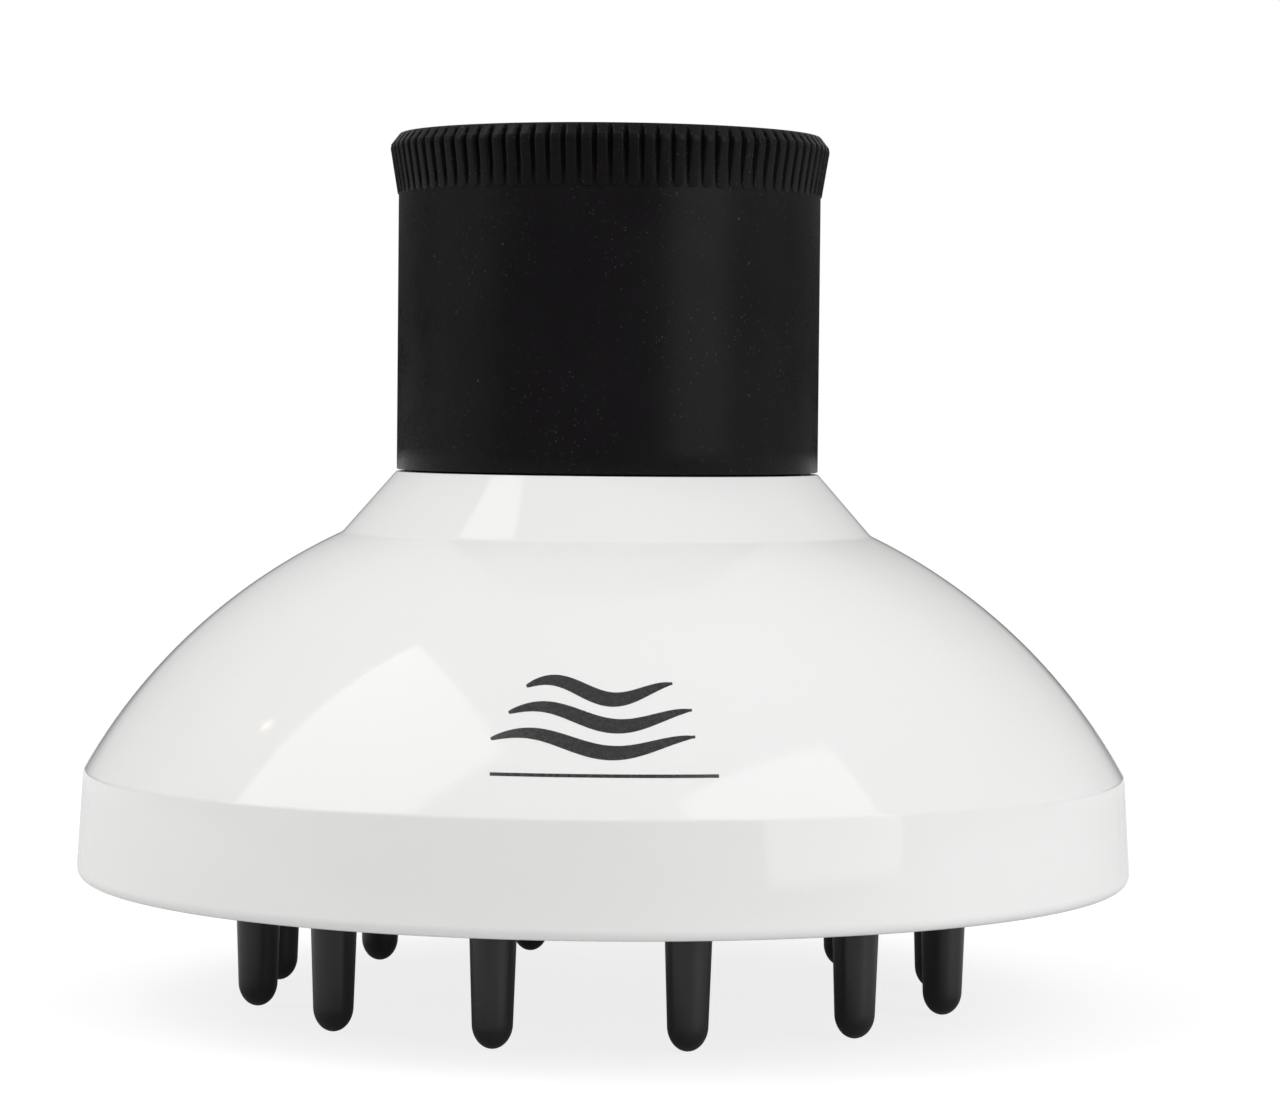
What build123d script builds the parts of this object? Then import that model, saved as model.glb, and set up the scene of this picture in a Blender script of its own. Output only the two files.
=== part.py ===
"""Hair dryer diffuser: a gloss bell on a rubber collar, with a ring of blunt fingers under it.

Frame: millimetres, +Z up along the air axis, from the fingers towards the dryer.
The origin is on the axis, in the plane of the outer finger tips, where the part stands.
The front, which carries the printed mark, faces -Y.

Bodies: the bell is the root. The neck turns in the bell's throat, the rubber sleeve pulls off
the neck, and the finger plate turns in the bell's rim as a bayonet.
"""

from build123d import *
from math import cos, hypot, radians, sin, sqrt
import os

# ---- driving dimensions -------------------------------------------------------------------
WALL = 2.2                    # bell moulding
RUN = 0.25                    # clearance between parts that move past each other
JOURNAL = 0.08                # radial clearance of the neck in the throat
FIT = 0.02                    # clearance between parts that are pressed together
BITE = 0.1                    # how far a part of a moulding runs into the rest of it
FRONT = -90.0                 # direction of -Y, from which the plate's angles count

# Bell
RIM_R, RIM_Z = 75.1, 17.8     # radius at the lower edge, before rounding
RIM_ROUND, RIM_INNER_ROUND = 1.6, 0.4
SKIRT_TOP_Z, SKIRT_ROUND = 33.1, 1.2      # edge between skirt and dome
DOME_R, DOME_CENTRE = 82.6, (2.5, -8.0)   # the dome's arc: radius, and its centre (r, z)
CONE_FOOT_Z, CONE_ROUND = 66.7, 2.0       # edge between dome and cone
CONE_SLOPE = 0.861            # radius lost for each millimetre of height
SHOULDER_R, SHOULDER_Z = 30.15, 75.4      # top of the cone, where the collar stands
SHOULDER_ROUND = 0.25
INNER_SKIRT_DROP, INNER_CONE_DROP = 0.9, 1.7   # how far the inner edges lie below the outer ones
THROAT_R, THROAT_FOOT_Z = 28.0, 70.5

# Bayonet: ledges inside the bell's rim, lugs on the plate
LUG_COUNT = 4
LUG_ARC, LEDGE_ARC, STOP_ARC = 18.0, 26.0, 2.5
LEDGE_Z, LEDGE_T, LEDGE_R = 23.9, 2.2, 69.8
LEDGE_ROOT_R = RIM_R - WALL + 0.6
STOP_H, STOP_INSET = 2.3, 0.6
RELEASE_TURN, LOCK_PLAY = 25.0, 0.3       # degrees from locked to free, and play at each end
LUG_T, LUG_INSET = 2.0, 0.5

# O-ring in the throat: height, radius of its section, and half the slack in its groove
SEAL_Z, SEAL_R, SEAL_SLACK = 72.9, 0.66, 0.1

# Neck tube
NECK_BORE_R = 25.6
NECK_R = 27.5                 # outside of the tube above the shoulder
NECK_FOOT_Z, NECK_TOP_Z = 67.6, 104.0
NECK_FLANGE_R, NECK_FLANGE_T = 31.0, 2.2
NECK_STOP_R, NECK_STOP_T = 23.6, 2.0      # ledge that the dryer's barrel lands on
NECK_STEP_H, NECK_ROUND = 0.2, 0.6
WASHER_PLAY = 0.1             # slip washer: play above it and round the tube

# Retaining ring
RING_T, RING_R, RING_GAP = 1.1, 28.7, 34.0     # thickness, outside radius, degrees of its opening
RING_GROOVE = 0.8             # depth of the tube's groove

# Rubber sleeve
SLEEVE_FOOT_Z, SLEEVE_TOP_Z = SHOULDER_Z + 0.27, 123.4
SLEEVE_R = 30.1
SLEEVE_STEP_Z = SHOULDER_Z + 2.2          # roof of the recess that clears the retaining ring
SLEEVE_EASE = 0.1             # radial ease over the neck tube
GRIP_R, GRIP_LEAD_R = 25.2, 28.2          # bore that holds the barrel, and its mouth
GRIP_LEAD_Z, GRIP_FOOT_Z = 120.4, NECK_TOP_Z + 0.4
SLEEVE_ROUND, MOUTH_ROUND, LEAD_ROUND = 0.3, 0.4, 1.5

# Ribbed lip
LIP_FOOT_Z, LIP_FOOT_R = 114.85, SLEEVE_R + 0.15
LIP_R, LIP_WIDE_Z = 31.3, 121.55          # widest part of the lip
LIP_TOP_R, LIP_TOP_Z = SLEEVE_R + 0.1, SLEEVE_TOP_Z - 0.15
LIP_BAND = (-0.35, 0.25, 0.08)            # widest band: its foot, its top, and its fall inwards
RIB_COUNT, RIB_WIDTH, RIB_ROOT = 90, 1.42, 0.5

# Finger plate
PLATE_T = 2.0
PLATE_EDGE_R, PLATE_EDGE_Z = 67.0, 20.5   # where the bowl meets the flat flange, underside
PLATE_CENTRE_Z = 37.5         # underside of the bowl at the axis
PLATE_WALL_IN, PLATE_WALL_T = 1.2, 1.7    # upright wall inside the flange
FLANGE_R, FLANGE_ROUND, BOWL_ROUND = 72.3, 0.6, 3.0
GASKET_PLAY, GASKET_SQUEEZE = 0.3, 0.15

# Fingers
FINGER_COUNT, FINGER_RING_R, FINGER_START = 12, 49.85, 13.1
INNER_COUNT, INNER_RING_R = 6, 25.0
OUTER_TIP_R, INNER_TIP_R = 2.75, 2.45
OUTER_TIP_Z, INNER_TIP_Z = 0.0, 12.5
TIP_H, FINGER_TAPER = 3.4, 0.034          # height of the round tip; radius gained per millimetre
OUTER_BOSS_R, INNER_BOSS_R, BOSS_EDGE = 5.6, 5.0, 0.8
BOSS_BELOW, BOSS_ABOVE = 2.4, 2.0         # how far a boss stands out of the bowl
COLLAR_W, COLLAR_T = 1.5, 1.4             # flange that seats a finger on its boss
FINGER_ROWS = (
    ("outer_finger", FINGER_COUNT, FINGER_RING_R, OUTER_TIP_Z, OUTER_TIP_R, OUTER_BOSS_R),
    ("inner_finger", INNER_COUNT, INNER_RING_R, INNER_TIP_Z, INNER_TIP_R, INNER_BOSS_R),
)

# Air holes: how many, on what radius, from what angle, hole radius
PITCH = 360.0 / FINGER_COUNT
PAIR = 4.4                    # half the angle between the two holes between neighbouring fingers
VENT_ROWS = (
    (12, 16.5, FINGER_START + PITCH / 2, 1.6),
    (6, INNER_RING_R, FINGER_START + 0.6 * PITCH, 1.7),
    (6, INNER_RING_R, FINGER_START + PITCH, 1.7),
    (6, INNER_RING_R, FINGER_START + 1.4 * PITCH, 1.7),
    (24, 33.5, FINGER_START + PITCH / 4, 2.2),
    (24, 41.5, FINGER_START, 2.4),
    (12, FINGER_RING_R, FINGER_START + PITCH / 2 - PAIR, 2.5),
    (12, FINGER_RING_R, FINGER_START + PITCH / 2 + PAIR, 2.5),
    (36, 58.5, FINGER_START, 2.5),
)
DRILL_FROM_Z, DRILL_TO_Z = 15.0, 50.0     # span of every cut through the bowl

# Hub, with the screw, its washer and the cap
HUB_R, HUB_FOOT_Z, HUB_TOP_Z = 10.0, 33.0, 43.0
CAP_BORE_R, CAP_ROOF_Z = 7.6, 36.0        # recess that holds the cap
HEAD_BORE_R, HEAD_ROOF_Z = 4.3, 38.6      # recess for the screw's head and washer
SCREW_HOLE_R = 2.25
SCREW_R, SCREW_TIP_Z = 2.0, 55.5
HEAD_R, HEAD_FOOT_Z, HEAD_TOP_Z, HEAD_EDGE = 4.0, 35.9, 38.1, 0.5
DRIVE_W, DRIVE_L, DRIVE_DEPTH = 0.9, 4.2, 1.1  # cross recess
WASHER_IN_R, WASHER_OUT_R = 2.1, 4.1
CAP_R, CAP_FOOT_Z, CAP_TOP_Z = 9.4, 31.4, 35.6

# Air deflector: a shallow cone on a stem
STEM_R, STEM_FOOT_R, STEM_FOOT_T, STEM_FLARE_H = 4.6, 7.0, 1.6, 1.0
STEM_BORE_R, STEM_BORE_TOP_Z = 2.02, 57.0
CONE_R, CONE_EDGE_Z, CONE_TOP_Z = 26.0, 51.6, 61.0
CONE_UNDER_R, CONE_UNDER_Z, CONE_ROOT_Z = 25.6, 50.4, 53.6
FIN_COUNT, FIN_HALF_T = 3, 0.8
FIN_IN_R, FIN_OUT_R, FIN_FOOT_Z, FIN_OUT_Z, FIN_TOP_Z = 4.0, 22.0, 46.0, 51.4, 54.0


# ---- helpers ------------------------------------------------------------------------------
def dome_radius(z, inset=0.0):
    """Radius of the dome's arc at a height, moved inwards by inset."""
    return DOME_CENTRE[0] + sqrt((DOME_R - inset) ** 2 - (z - DOME_CENTRE[1]) ** 2)


def bowl_z(r, lift=0.0):
    """Height of the plate's underside at a radius, moved outwards from its sphere by lift."""
    rise = PLATE_CENTRE_Z - PLATE_EDGE_Z
    sphere = (PLATE_EDGE_R ** 2 + rise ** 2) / (2 * rise)
    return PLATE_CENTRE_Z - sphere + sqrt((sphere + lift) ** 2 - r ** 2)


def crown(r, z_edge, z_axis):
    """Arc centred on the axis, from (r, z_edge) to the axis at z_axis."""
    rise = z_axis - z_edge
    sphere = (r ** 2 + rise ** 2) / (2 * rise)
    centre = z_axis - sphere
    side = 1 if sphere > 0 else -1
    middle = (r / 2, centre + side * sqrt(sphere ** 2 - r ** 2 / 4))
    return ThreePointArc((r, z_edge), middle, (0, z_axis))


def section(*edges):
    """A face in the XZ plane from edges drawn as (r, z)."""
    return Plane.XZ * make_face(Curve() + list(edges))


def outline(*points):
    """A face in the XZ plane with straight sides through (r, z) points."""
    return Plane.XZ * make_face(Polyline(*points, close=True))


def corner(face, r, z):
    """The vertex of a section nearest to (r, z)."""
    return min(face.vertices(), key=lambda v: hypot(v.X - r, v.Z - z))


def rounded(face, *corners):
    """The section with each corner (r, z, radius) filleted."""
    for r, z, radius in corners:
        face = fillet(corner(face, r, z), radius)
    return face


def turned(face, arc=360.0, start=0.0):
    """The section revolved about Z, over an arc that starts at an angle."""
    return Rot(0, 0, start) * revolve(face, Axis.Z, arc)


def ring(r_in, r_out, z_low, z_high, arc=360.0, start=0.0):
    """A ring, or a sector of one."""
    return turned(outline((r_in, z_low), (r_out, z_low), (r_out, z_high), (r_in, z_high)), arc, start)


def post(r, z_low, z_high):
    """A round post on the axis."""
    return Pos(0, 0, z_low) * Cylinder(r, z_high - z_low, align=(Align.CENTER, Align.CENTER, Align.MIN))


def around(count, radius, start=0.0):
    """Locations evenly spaced on a circle, each turned to face outwards."""
    return [Rot(0, 0, FRONT + start + 360.0 * i / count) * Pos(radius, 0, 0) for i in range(count)]


def lug_starts():
    """Angle at which each bayonet lug begins when the plate is locked."""
    return [360.0 * i / LUG_COUNT for i in range(LUG_COUNT)]


# ---- bell body ----------------------------------------------------------------------------
def bell_shell():
    """Cone, dome and skirt in one moulding, with the throat above and bayonet ledges below."""
    skirt_top = (dome_radius(SKIRT_TOP_Z), SKIRT_TOP_Z)
    cone_foot = (dome_radius(CONE_FOOT_Z), CONE_FOOT_Z)
    inner_skirt_z, inner_cone_z = SKIRT_TOP_Z - INNER_SKIRT_DROP, CONE_FOOT_Z - INNER_CONE_DROP
    inner_skirt = (dome_radius(inner_skirt_z, WALL), inner_skirt_z)
    inner_cone = (dome_radius(inner_cone_z, WALL), inner_cone_z)
    throat_edge = (inner_cone[0] - (THROAT_FOOT_Z - inner_cone_z) * CONE_SLOPE, THROAT_FOOT_Z)
    middle_z = (SKIRT_TOP_Z + CONE_FOOT_Z) / 2
    face = section(
        Polyline((THROAT_R, SHOULDER_Z), (SHOULDER_R, SHOULDER_Z), cone_foot),
        ThreePointArc(cone_foot, (dome_radius(middle_z), middle_z), skirt_top),
        Polyline(skirt_top, (RIM_R, RIM_Z), (RIM_R - WALL, RIM_Z), inner_skirt),
        ThreePointArc(inner_skirt, (dome_radius(middle_z, WALL), middle_z), inner_cone),
        Polyline(inner_cone, throat_edge, (THROAT_R, THROAT_FOOT_Z), (THROAT_R, SHOULDER_Z)),
    )
    face = rounded(
        face,
        (RIM_R, RIM_Z, RIM_ROUND),
        (RIM_R - WALL, RIM_Z, RIM_INNER_ROUND),
        (*skirt_top, SKIRT_ROUND),
        (*cone_foot, CONE_ROUND),
        (SHOULDER_R, SHOULDER_Z, SHOULDER_ROUND),
    )
    half = SEAL_R + SEAL_SLACK
    groove = ring(THROAT_R - BITE, THROAT_R + 2 * SEAL_R + FIT, SEAL_Z - half, SEAL_Z + half)
    return (turned(face) - groove).fuse(*bayonet_ledges())


def bayonet_ledges():
    """Ledges that hold the plate's lugs up, each with a stop at its locked end and one beyond."""
    top = LEDGE_Z + LEDGE_T
    pieces = []
    for start in lug_starts():
        ledge_end = start + LUG_ARC + LOCK_PLAY + STOP_ARC
        free_end = start - RELEASE_TURN - LOCK_PLAY
        pieces += [
            ring(LEDGE_R, LEDGE_ROOT_R, LEDGE_Z, top, LEDGE_ARC, ledge_end - LEDGE_ARC),
            ring(LEDGE_R, LEDGE_ROOT_R, top - BITE, top + STOP_H, STOP_ARC, ledge_end - STOP_ARC),
            ring(LEDGE_R + STOP_INSET, LEDGE_ROOT_R, LEDGE_Z, top + STOP_H, STOP_ARC, free_end - STOP_ARC),
        ]
    return pieces


def neck_seal():
    """O-ring in the throat, which drags on the neck tube."""
    return Pos(0, 0, SEAL_Z) * Torus(THROAT_R + SEAL_R, SEAL_R)


# ---- neck body ----------------------------------------------------------------------------
def neck_tube():
    """Rigid tube through the throat, with a flange below it and a stop ledge inside."""
    face = outline(
        (NECK_STOP_R, NECK_FOOT_Z),
        (NECK_FLANGE_R, NECK_FOOT_Z),
        (NECK_FLANGE_R, NECK_FOOT_Z + NECK_FLANGE_T),
        (THROAT_R - JOURNAL, NECK_FOOT_Z + NECK_FLANGE_T),
        (THROAT_R - JOURNAL, SHOULDER_Z),
        (NECK_R, SHOULDER_Z + NECK_STEP_H),
        (NECK_R, NECK_TOP_Z),
        (NECK_BORE_R, NECK_TOP_Z),
        (NECK_BORE_R, NECK_FOOT_Z + NECK_STOP_T),
        (NECK_STOP_R, NECK_FOOT_Z + NECK_STOP_T),
    )
    face = rounded(face, (NECK_R, NECK_TOP_Z, NECK_ROUND), (NECK_BORE_R, NECK_TOP_Z, NECK_ROUND))
    low = SHOULDER_Z + RUN
    return turned(face) - ring(NECK_R - RING_GROOVE, NECK_R + BITE, low, low + RING_T)


def slip_washer():
    """Thin plain washer between the neck's flange and the underside of the throat."""
    low = NECK_FOOT_Z + NECK_FLANGE_T
    return ring(THROAT_R + WASHER_PLAY, NECK_FLANGE_R, low + FIT, THROAT_FOOT_Z - WASHER_PLAY)


def retaining_ring():
    """Open spring ring in the tube's groove, above the shoulder, that holds the neck in."""
    low = SHOULDER_Z + RUN
    inner_r = NECK_R - RING_GROOVE + FIT
    return ring(inner_r, RING_R, low + FIT, low + RING_T - FIT, 360.0 - RING_GAP, RING_GAP / 2)


# ---- sleeve body --------------------------------------------------------------------------
def one_rib():
    """One rib of the lip, at +X: round at its foot, and cut to the lip's flare and chamfer."""
    band_foot, band_top, band_fall = LIP_BAND
    flare = outline(
        (SLEEVE_R - RIB_ROOT, LIP_FOOT_Z),
        (LIP_FOOT_R, LIP_FOOT_Z),
        (LIP_R, LIP_WIDE_Z + band_foot),
        (LIP_R - band_fall, LIP_WIDE_Z + band_top),
        (LIP_TOP_R, LIP_TOP_Z),
        (SLEEVE_R - RIB_ROOT, LIP_TOP_Z),
    )
    sector_arc = 1.5 * 360.0 / RIB_COUNT
    sector = turned(flare, sector_arc, -sector_arc / 2)
    half = RIB_WIDTH / 2
    foot = LIP_FOOT_Z + half
    side = Polyline((-half, foot), (-half, SLEEVE_TOP_Z), (half, SLEEVE_TOP_Z), (half, foot))
    shape = make_face(Curve() + [side, ThreePointArc((half, foot), (0, LIP_FOOT_Z), (-half, foot))])
    return sector & extrude(Plane.YZ * shape, LIP_R + BITE)


def grip_sleeve():
    """Rubber collar that stretches over the neck tube and over the dryer's barrel."""
    face = outline(
        (RING_R + RUN, SLEEVE_FOOT_Z),
        (SLEEVE_R, SLEEVE_FOOT_Z),
        (SLEEVE_R, SLEEVE_TOP_Z),
        (GRIP_LEAD_R, SLEEVE_TOP_Z),
        (GRIP_R, GRIP_LEAD_Z),
        (GRIP_R, GRIP_FOOT_Z),
        (NECK_R + SLEEVE_EASE, GRIP_FOOT_Z),
        (NECK_R + SLEEVE_EASE, SLEEVE_STEP_Z),
        (RING_R + RUN, SLEEVE_STEP_Z),
    )
    face = rounded(
        face,
        (SLEEVE_R, SLEEVE_TOP_Z, SLEEVE_ROUND),
        (GRIP_LEAD_R, SLEEVE_TOP_Z, MOUTH_ROUND),
        (GRIP_R, GRIP_LEAD_Z, LEAD_ROUND),
    )
    rib = one_rib()
    ribs = [Rot(0, 0, 360.0 * i / RIB_COUNT) * rib for i in range(RIB_COUNT)]
    return turned(face).fuse(*ribs)


# ---- plate body ---------------------------------------------------------------------------
def finger_seat(ring_r):
    """Low and high faces of the boss that holds a finger, at a ring radius."""
    return bowl_z(ring_r) - BOSS_BELOW, bowl_z(ring_r, PLATE_T) + BOSS_ABOVE


def finger_base_radius(tip_z, tip_r, seat_z):
    """Radius of a finger where it enters its boss."""
    return tip_r + FINGER_TAPER * (seat_z - tip_z - TIP_H)


def bowl_section():
    """Half section of the bowl with its upright wall and its flange."""
    wall_in, wall_out = PLATE_EDGE_R - PLATE_WALL_IN, PLATE_EDGE_R - PLATE_WALL_IN + PLATE_WALL_T
    under = (PLATE_EDGE_R, PLATE_EDGE_Z)
    over = (wall_in, bowl_z(wall_in, PLATE_T))
    axis_low, axis_high = (0, PLATE_CENTRE_Z), (0, PLATE_CENTRE_Z + PLATE_T)
    middle, flange_top = PLATE_EDGE_R / 2, PLATE_EDGE_Z + PLATE_T
    face = section(
        Line(axis_low, axis_high),
        ThreePointArc(axis_high, (middle, bowl_z(middle, PLATE_T)), over),
        Polyline(over, (wall_out, over[1]), (wall_out, flange_top), (FLANGE_R, flange_top),
                 (FLANGE_R, PLATE_EDGE_Z), under),
        ThreePointArc(under, (middle, bowl_z(middle)), axis_low),
    )
    return rounded(face, (FLANGE_R, PLATE_EDGE_Z, FLANGE_ROUND), (*under, BOWL_ROUND))


def bayonet_ring():
    """Ring that stands up from the plate's flange, and its lugs."""
    low = LEDGE_Z + LEDGE_T + RUN
    wall_r = PLATE_EDGE_R - PLATE_WALL_IN + PLATE_WALL_T
    outer_r = LEDGE_R - RUN
    pieces = [ring(wall_r - BITE, outer_r, PLATE_EDGE_Z + PLATE_T - BITE, low + LUG_T)]
    for start in lug_starts():
        pieces.append(ring(outer_r - BITE, FLANGE_R - LUG_INSET, low, low + LUG_T, LUG_ARC, start))
    return pieces


def finger_bosses():
    """A boss for each finger."""
    bosses = []
    for _, count, ring_r, _, _, boss_r in FINGER_ROWS:
        boss = chamfer(post(boss_r, *finger_seat(ring_r)).edges().group_by(Axis.Z)[0], BOSS_EDGE)
        bosses += [place * boss for place in around(count, ring_r, FINGER_START)]
    return bosses


def plate_cuts():
    """Air holes, the holes that hold the fingers, and the stepped hole through the hub."""
    cuts = [
        post(CAP_BORE_R, HUB_FOOT_Z - BITE, CAP_ROOF_Z),
        post(HEAD_BORE_R, CAP_ROOF_Z - BITE, HEAD_ROOF_Z),
        post(SCREW_HOLE_R, HEAD_ROOF_Z - BITE, HUB_TOP_Z + BITE),
    ]
    for count, radius, start, hole_r in VENT_ROWS:
        cuts += [place * post(hole_r, DRILL_FROM_Z, DRILL_TO_Z) for place in around(count, radius, start)]
    for _, count, ring_r, tip_z, tip_r, _ in FINGER_ROWS:
        hole_r = finger_base_radius(tip_z, tip_r, finger_seat(ring_r)[0]) + FIT
        hole = post(hole_r, DRILL_FROM_Z, DRILL_TO_Z)
        cuts += [place * hole for place in around(count, ring_r, FINGER_START)]
    return cuts


def finger_plate():
    """Perforated bowl with a bayonet ring round its edge, a boss for each finger and a hub."""
    plate = turned(bowl_section()).fuse(*bayonet_ring(), post(HUB_R, HUB_FOOT_Z, HUB_TOP_Z))
    return plate.fuse(*finger_bosses()).cut(*plate_cuts())


def finger(ring_r, tip_z, tip_r):
    """A blunt tapered finger on the axis, with the flange that seats it on top of its boss."""
    low, seat_z = finger_seat(ring_r)
    base_r = finger_base_radius(tip_z, tip_r, low)
    collar_r, collar_top = base_r + COLLAR_W, seat_z + COLLAR_T
    tip_top = tip_z + TIP_H
    arc_r, arc_z = tip_r * cos(radians(45)), tip_top - TIP_H * sin(radians(45))
    face = section(
        Line((0, tip_z), (0, collar_top)),
        Polyline((0, collar_top), (collar_r, collar_top), (collar_r, seat_z + FIT),
                 (base_r, seat_z + FIT), (base_r, low), (tip_r, tip_top)),
        Spline([(tip_r, tip_top), (arc_r, arc_z), (0, tip_z)], tangents=[(-FINGER_TAPER, -1), (-1, 0)]),
    )
    return turned(face)


def rim_gasket():
    """Flat rubber ring on the plate's flange, which the ledges press on."""
    low = PLATE_EDGE_Z + PLATE_T
    return ring(LEDGE_R + GASKET_PLAY, FLANGE_R - GASKET_PLAY, low + FIT, LEDGE_Z - GASKET_SQUEEZE)


def air_deflector():
    """Shallow cone on a stem that spreads the jet from the neck over the whole bowl."""
    foot = HUB_TOP_Z + FIT
    flare_z = HUB_TOP_Z + STEM_FOOT_T
    face = section(
        Polyline((STEM_BORE_R, foot), (STEM_FOOT_R, foot), (STEM_FOOT_R, flare_z),
                 (STEM_R, flare_z + STEM_FLARE_H), (STEM_R, CONE_ROOT_Z),
                 (CONE_UNDER_R, CONE_UNDER_Z), (CONE_R, CONE_EDGE_Z)),
        crown(CONE_R, CONE_EDGE_Z, CONE_TOP_Z),
        Polyline((0, CONE_TOP_Z), (0, STEM_BORE_TOP_Z), (STEM_BORE_R, STEM_BORE_TOP_Z),
                 (STEM_BORE_R, foot)),
    )
    fin = extrude(outline((FIN_IN_R, FIN_FOOT_Z), (FIN_OUT_R, FIN_OUT_Z), (FIN_IN_R, FIN_TOP_Z)),
                  FIN_HALF_T, both=True)
    fins = [Rot(0, 0, FRONT + 360.0 * i / FIN_COUNT) * fin for i in range(FIN_COUNT)]
    return turned(face).fuse(*fins)


def deflector_screw():
    """Pan-head screw up through the hub into the deflector's stem, with a cross recess."""
    head = chamfer(post(HEAD_R, HEAD_FOOT_Z, HEAD_TOP_Z - FIT).edges().group_by(Axis.Z)[0], HEAD_EDGE)
    screw = head + post(SCREW_R, HEAD_TOP_Z - BITE, SCREW_TIP_Z)
    drive = Pos(0, 0, HEAD_FOOT_Z) * Box(DRIVE_L, DRIVE_W, 2 * DRIVE_DEPTH)
    return screw - drive - Rot(0, 0, 90) * drive


def screw_washer():
    """Washer under the screw's head."""
    return ring(WASHER_IN_R, WASHER_OUT_R, HEAD_TOP_Z, HEAD_ROOF_Z - FIT)


def centre_cap():
    """Domed cap that closes the hub from below."""
    rim_z = HUB_FOOT_Z - FIT
    plug_r = CAP_BORE_R - FIT
    face = section(
        Line((0, CAP_FOOT_Z), (0, CAP_TOP_Z)),
        Polyline((0, CAP_TOP_Z), (plug_r, CAP_TOP_Z), (plug_r, rim_z), (CAP_R, rim_z)),
        crown(CAP_R, rim_z, CAP_FOOT_Z),
    )
    return turned(face)


# ---- the nodes ----------------------------------------------------------------------------
def nodes():
    """Every node by name."""
    made = {
        "bell_shell": bell_shell(),
        "neck_seal": neck_seal(),
        "neck_tube": neck_tube(),
        "slip_washer": slip_washer(),
        "retaining_ring": retaining_ring(),
        "grip_sleeve": grip_sleeve(),
        "finger_plate": finger_plate(),
        "rim_gasket": rim_gasket(),
        "air_deflector": air_deflector(),
        "deflector_screw": deflector_screw(),
        "screw_washer": screw_washer(),
        "centre_cap": centre_cap(),
    }
    for name, count, ring_r, tip_z, tip_r, _ in FINGER_ROWS:
        shape = finger(ring_r, tip_z, tip_r)
        for i, place in enumerate(around(count, ring_r, FINGER_START), start=1):
            made[f"{name}_{i:02d}"] = place * shape
    return made


os.makedirs("parts", exist_ok=True)
for node, shape in nodes().items():
    export_step(shape, f"parts/{node}.step")
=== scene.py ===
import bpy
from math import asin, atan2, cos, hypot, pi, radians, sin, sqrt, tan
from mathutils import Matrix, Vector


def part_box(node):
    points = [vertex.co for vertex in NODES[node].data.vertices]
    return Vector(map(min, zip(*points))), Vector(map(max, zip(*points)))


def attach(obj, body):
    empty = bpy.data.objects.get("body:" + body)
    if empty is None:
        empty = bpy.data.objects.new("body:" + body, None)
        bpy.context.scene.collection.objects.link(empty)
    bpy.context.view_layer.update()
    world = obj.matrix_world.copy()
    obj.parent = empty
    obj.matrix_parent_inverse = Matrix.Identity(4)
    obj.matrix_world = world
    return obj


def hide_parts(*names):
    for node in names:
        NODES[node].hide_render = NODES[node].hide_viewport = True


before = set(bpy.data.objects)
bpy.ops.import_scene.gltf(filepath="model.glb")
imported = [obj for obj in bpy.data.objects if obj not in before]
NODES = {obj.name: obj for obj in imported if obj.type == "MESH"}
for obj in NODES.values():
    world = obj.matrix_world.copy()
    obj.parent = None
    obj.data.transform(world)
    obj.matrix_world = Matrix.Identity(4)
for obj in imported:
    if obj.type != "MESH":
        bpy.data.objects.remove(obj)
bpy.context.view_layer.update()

# A hair dryer diffuser: gloss white bell, black rubber collar with a ribbed lip, satin black fingers.
# Everything is in metres in the part's own frame: +Z up the air axis, the printed front towards -Y,
# and the origin on the axis in the plane of the finger tips.

MM = 0.001

# ---- sizes, from the frame where it holds them ---------------------------------------------
SHELL_LOW, SHELL_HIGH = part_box("bell_shell")
SLEEVE_LOW, SLEEVE_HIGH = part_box("grip_sleeve")

# Bell
WALL = 2.2 * MM
RIM_R, RIM_Z = 75.1 * MM, SHELL_LOW[2]      # radius at the lower edge, before rounding
RIM_ROUND, RIM_INNER_ROUND = 1.6 * MM, 0.4 * MM
SKIRT_TOP_Z, SKIRT_ROUND = 33.1 * MM, 1.2 * MM             # edge between skirt and dome
DOME_R, DOME_CENTRE = 82.6 * MM, (2.5 * MM, -8.0 * MM)     # the dome's arc and its centre (r, z)
CONE_FOOT_Z, CONE_ROUND = 66.7 * MM, 2.0 * MM              # edge between dome and cone
CONE_SLOPE = 0.861                          # radius lost for each unit of height
INNER_SKIRT_DROP, INNER_CONE_DROP = 0.9 * MM, 1.7 * MM     # inner edges, below the outer ones
INNER_SKIRT_ROUND, INNER_CONE_ROUND = 1.0 * MM, 1.5 * MM
SHOULDER_R, SHOULDER_Z, SHOULDER_ROUND = 30.15 * MM, SHELL_HIGH[2], 0.25 * MM
THROAT_R, THROAT_TOP_ROUND = 28.0 * MM, 0.2 * MM
THROAT_FOOT_Z, THROAT_FOOT_ROUND, THROAT_EDGE_ROUND = 70.5 * MM, 0.3 * MM, 0.4 * MM
BELL_STEPS = 256                            # round the axis

# Bayonet ledges, with angles in degrees
LUG_COUNT, LUG_ARC, LEDGE_ARC, STOP_ARC = 4, 18.0, 26.0, 2.5
RELEASE_TURN, LOCK_PLAY = 25.0, 0.3
LEDGE_R, LEDGE_ROOT_R = 69.8 * MM, 73.5 * MM
LEDGE_Z, LEDGE_TOP_Z, STOP_TOP_Z = 23.9 * MM, 26.1 * MM, 28.4 * MM
STOP_INSET = 0.6 * MM

# Rubber sleeve: its outside, the grip bore, the seat on the neck tube and the recess at its foot
SLEEVE_R = 30.1 * MM
GRIP_R, GRIP_LEAD_R, GRIP_LEAD_H = 25.2 * MM, 28.2 * MM, 3.0 * MM
SEAT_R, SEAT_TOP_Z, SEAT_FOOT_Z = 27.6 * MM, 104.4 * MM, 77.6 * MM
RECESS_R = 28.95 * MM

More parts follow.
